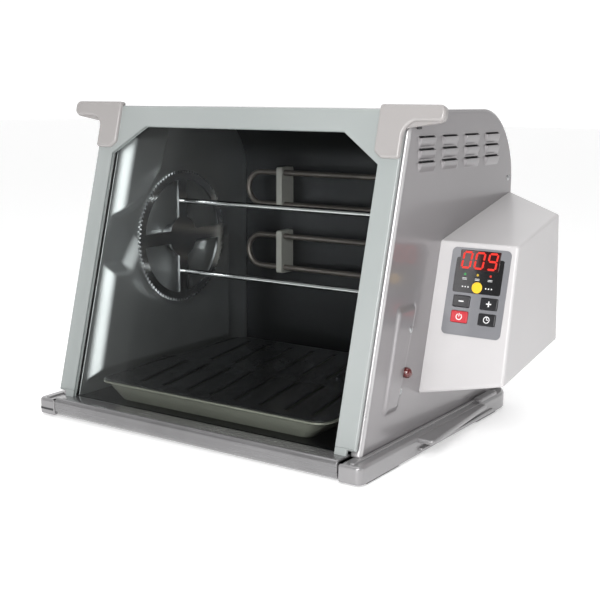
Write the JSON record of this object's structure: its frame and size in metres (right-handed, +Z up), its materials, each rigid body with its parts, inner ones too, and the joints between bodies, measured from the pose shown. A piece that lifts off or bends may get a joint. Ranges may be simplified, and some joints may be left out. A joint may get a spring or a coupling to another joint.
{
  "type": "rotisserie oven",
  "caption": "Countertop rotisserie oven with a leaning glass door, a spit on toothed wheels, a drip tray and a side control pod.",
  "frame": {"origin": "on the table, under the middle of the whole oven's box", "axes": "+Z up, -Y towards the user and the door, +X towards the control pod"},
  "size_m": [0.5163, 0.353, 0.344],
  "materials": {
    "body_paint": "silver-grey gloss paint on sheet steel",
    "base_plastic": "grey moulded plastic, satin",
    "bracket_plastic": "light warm grey plastic, satin",
    "pod_plastic": "very light warm grey plastic, satin",
    "overlay_film": "grey printed keypad film",
    "key_black": "black rubbery plastic",
    "key_red": "red plastic",
    "key_yellow": "yellow plastic",
    "display_window": "dark red filter",
    "led_lens": "clear coloured lamp lenses",
    "lamp_red": "dark red domed lens",
    "glass": "tempered glass with a frosted printed border",
    "liner_steel": "polished steel",
    "reflector_steel": "bright steel, darkened by heat",
    "spit_chrome": "chrome plate",
    "gear_steel": "machined steel",
    "bush_bronze": "sintered bronze",
    "heater_sheath": "dark oxidised sheath",
    "ceramic": "white ceramic",
    "tray_enamel": "olive-grey enamel",
    "grate_coating": "black non-stick coating",
    "rubber": "black rubber",
    "motor_can": "plated steel can",
    "black_plastic": "black plastic",
    "circuit_board": "green laminate",
    "transformer_iron": "laminated iron with a wound bobbin"
  },
  "bodies": {
    "oven": {"base_frame": "base_plastic", "floor_pan": "reflector_steel", "foot_pads": "rubber", "roof_and_back": "body_paint", "cord_gland": "black_plastic", "heat_reflector": "reflector_steel", "side_panel_left": "body_paint", "side_panel_right": "body_paint", "liner_left": "liner_steel", "liner_right": "liner_steel", "hub_seat_left": "gear_steel", "hub_seat_right": "gear_steel", "flange_screws": "gear_steel", "panel_screws": "gear_steel", "door_catches": "black_plastic", "indicator_lens": "lamp_red", "lamp_holder": "black_plastic", "upper_heater": "heater_sheath", "lower_heater": "heater_sheath", "heater_supports": "ceramic", "drip_tray": "tray_enamel", "tray_grate": "grate_coating", "shaft_bush": "bush_bronze", "motor_bracket": "motor_can", "gear_motor": "motor_can", "motor_screws": "gear_steel", "thermal_cutout": "motor_can", "pod_housing": "pod_plastic", "pod_back_cover": "black_plastic", "keypad_overlay": "overlay_film", "display_window": "display_window", "display_module": "black_plastic", "function_leds": "led_lens", "circuit_board": "circuit_board", "key_switches": "black_plastic", "transformer": "transformer_iron", "heater_relay": "black_plastic"},
    "door": {"door_glass": "glass", "bottom_bar": "base_plastic", "hinge_pins": "gear_steel", "corner_bracket_left": "bracket_plastic", "corner_bracket_right": "bracket_plastic", "bracket_screws": "gear_steel"},
    "spit": {"spit_wheel_left": "spit_chrome", "spit_wheel_right": "spit_chrome", "spit_rods": "spit_chrome", "spit_hub_left": "spit_chrome", "spit_hub_right": "spit_chrome"},
    "drive": {"drive_gear": "gear_steel", "drive_shaft": "gear_steel"},
    "key_minus": {"key_minus": "key_black"},
    "key_plus": {"key_plus": "key_black"},
    "key_off": {"key_off": "key_red"},
    "key_hours": {"key_hours": "key_black"},
    "key_function": {"key_function": "key_yellow"}
  },
  "joints": [
    {"name": "door_hinge", "type": "hinge", "parent": "oven", "child": "door", "pos_m": [-0.0242, -0.1655, 0.0125], "axis": [1, 0, 0], "range_deg": [0, 105]},
    {"name": "spit_spin", "type": "hinge", "parent": "oven", "child": "spit", "pos_m": [-0.0242, 0.0065, 0.186], "axis": [1, 0, 0], "continuous": true},
    {"name": "drive_gear_spin", "type": "hinge", "parent": "oven", "child": "drive", "pos_m": [0.1258, 0.0497, 0.11117], "axis": [1, 0, 0], "continuous": true},
    {"name": "key_minus_press", "type": "slide", "parent": "oven", "child": "key_minus", "axis": [0, 0.9655, -0.2605], "range_m": [0, 0.0007], "stiffness_N_per_m": 1800},
    {"name": "key_plus_press", "type": "slide", "parent": "oven", "child": "key_plus", "axis": [0, 0.9655, -0.2605], "range_m": [0, 0.0007], "stiffness_N_per_m": 1800},
    {"name": "key_off_press", "type": "slide", "parent": "oven", "child": "key_off", "axis": [0, 0.9655, -0.2605], "range_m": [0, 0.0007], "stiffness_N_per_m": 1800},
    {"name": "key_hours_press", "type": "slide", "parent": "oven", "child": "key_hours", "axis": [0, 0.9655, -0.2605], "range_m": [0, 0.0007], "stiffness_N_per_m": 1800},
    {"name": "key_function_press", "type": "slide", "parent": "oven", "child": "key_function", "axis": [0, 0.9655, -0.2605], "range_m": [0, 0.0007], "stiffness_N_per_m": 1800}
  ],
  "couplings": [
    {"joint": "drive_gear_spin", "follows": "spit_spin", "ratio": -8}
  ]
}
